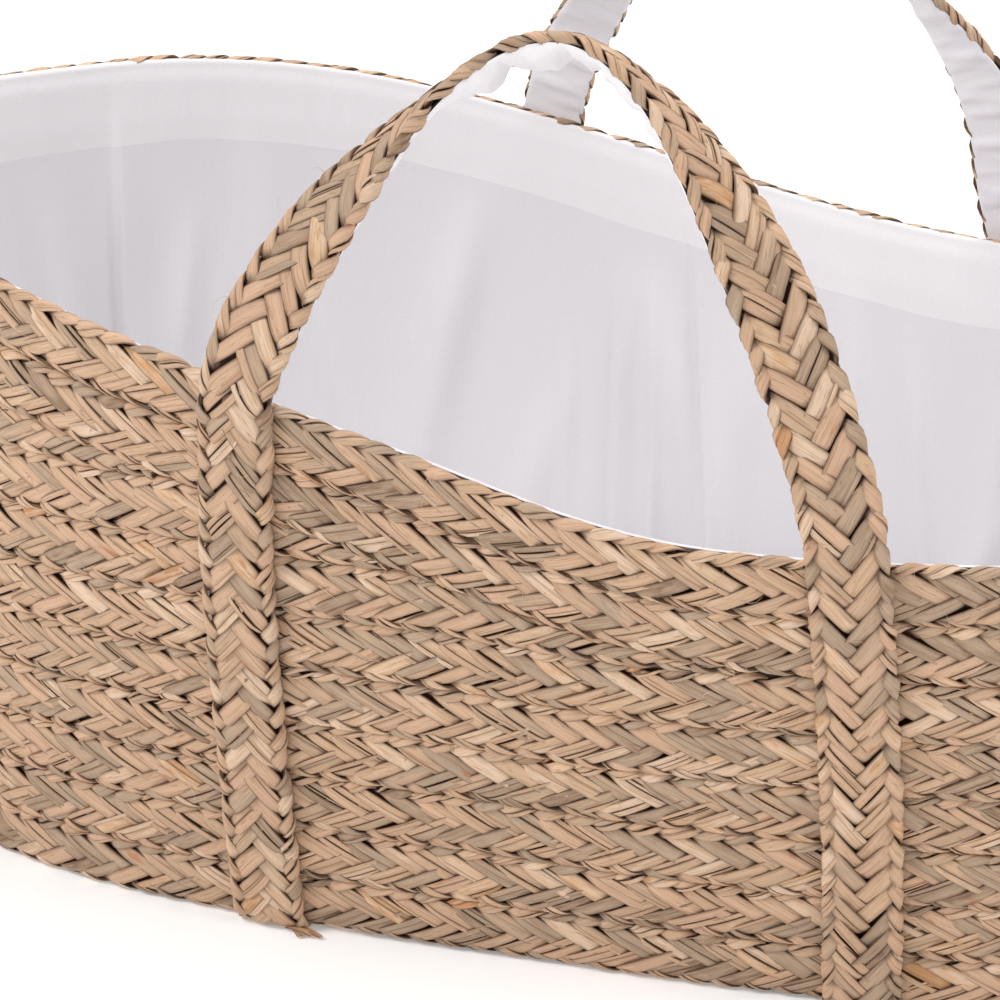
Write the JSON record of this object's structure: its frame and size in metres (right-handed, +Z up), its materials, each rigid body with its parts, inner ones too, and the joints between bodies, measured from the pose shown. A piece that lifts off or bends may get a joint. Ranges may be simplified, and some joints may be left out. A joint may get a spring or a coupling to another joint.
{
  "type": "moses basket",
  "caption": "Oval Moses basket of sewn seagrass braid with a raised head end, a white cotton lining, a loose mattress pad and a folding braided carry handle on each long side.",
  "frame": {"origin": "middle of the underside, on the surface that the basket stands on", "axes": "+X towards the low foot end along the basket, +Y towards the back handle, +Z up"},
  "size_m": [0.8716, 0.5228, 0.4492],
  "materials": {
    "seagrass_braid": "dry plaited seagrass, matte with a faint sheen along the fibres",
    "handle_braid": "dry plaited seagrass, matte, a little tighter and lighter than the wall",
    "lining_cotton": "plain-weave white cotton, matte",
    "hem_cotton": "doubled plain-weave white cotton, matte",
    "mattress_cotton": "soft white cotton cover, matte"
  },
  "bodies": {
    "basket": {"floor_ring_1": "seagrass_braid", "floor_ring_2": "seagrass_braid", "floor_ring_3": "seagrass_braid", "floor_ring_4": "seagrass_braid", "floor_ring_5": "seagrass_braid", "floor_ring_6": "seagrass_braid", "floor_middle": "seagrass_braid", "wall_course_1": "seagrass_braid", "wall_course_2": "seagrass_braid", "wall_course_3": "seagrass_braid", "wall_course_4": "seagrass_braid", "wall_course_5": "seagrass_braid", "wall_course_6": "seagrass_braid", "head_course_1": "seagrass_braid", "head_course_2": "seagrass_braid", "head_course_3": "seagrass_braid", "upper_course": "seagrass_braid", "rim_course": "seagrass_braid", "lining_wall": "lining_cotton", "lining_hem": "hem_cotton", "lining_floor": "lining_cotton", "front_head_strap": "handle_braid", "front_head_flex": "handle_braid", "front_foot_strap": "handle_braid", "front_foot_flex": "handle_braid", "back_head_strap": "handle_braid", "back_head_flex": "handle_braid", "back_foot_strap": "handle_braid", "back_foot_flex": "handle_braid"},
    "front_handle": {"front_loop": "handle_braid", "front_loop_lining": "lining_cotton"},
    "back_handle": {"back_loop": "handle_braid", "back_loop_lining": "lining_cotton"},
    "mattress": {"mattress_pad": "mattress_cotton"}
  },
  "joints": [
    {"name": "front_handle_fold", "type": "hinge", "parent": "basket", "child": "front_handle", "pos_m": [0.00522, -0.25162, 0.27425], "axis": [0.9823, 0.0359, -0.1836], "range_deg": [-55, 160], "deforming": ["front_head_flex", "front_foot_flex"]},
    {"name": "back_handle_fold", "type": "hinge", "parent": "basket", "child": "back_handle", "pos_m": [0.00522, 0.25162, 0.27425], "axis": [-0.9823, 0.0359, 0.1836], "range_deg": [-55, 160], "deforming": ["back_head_flex", "back_foot_flex"]},
    {"name": "mattress_lift", "type": "slide", "parent": "basket", "child": "mattress", "axis": [0, 0, 1], "range_m": [0, 0.45]}
  ]
}
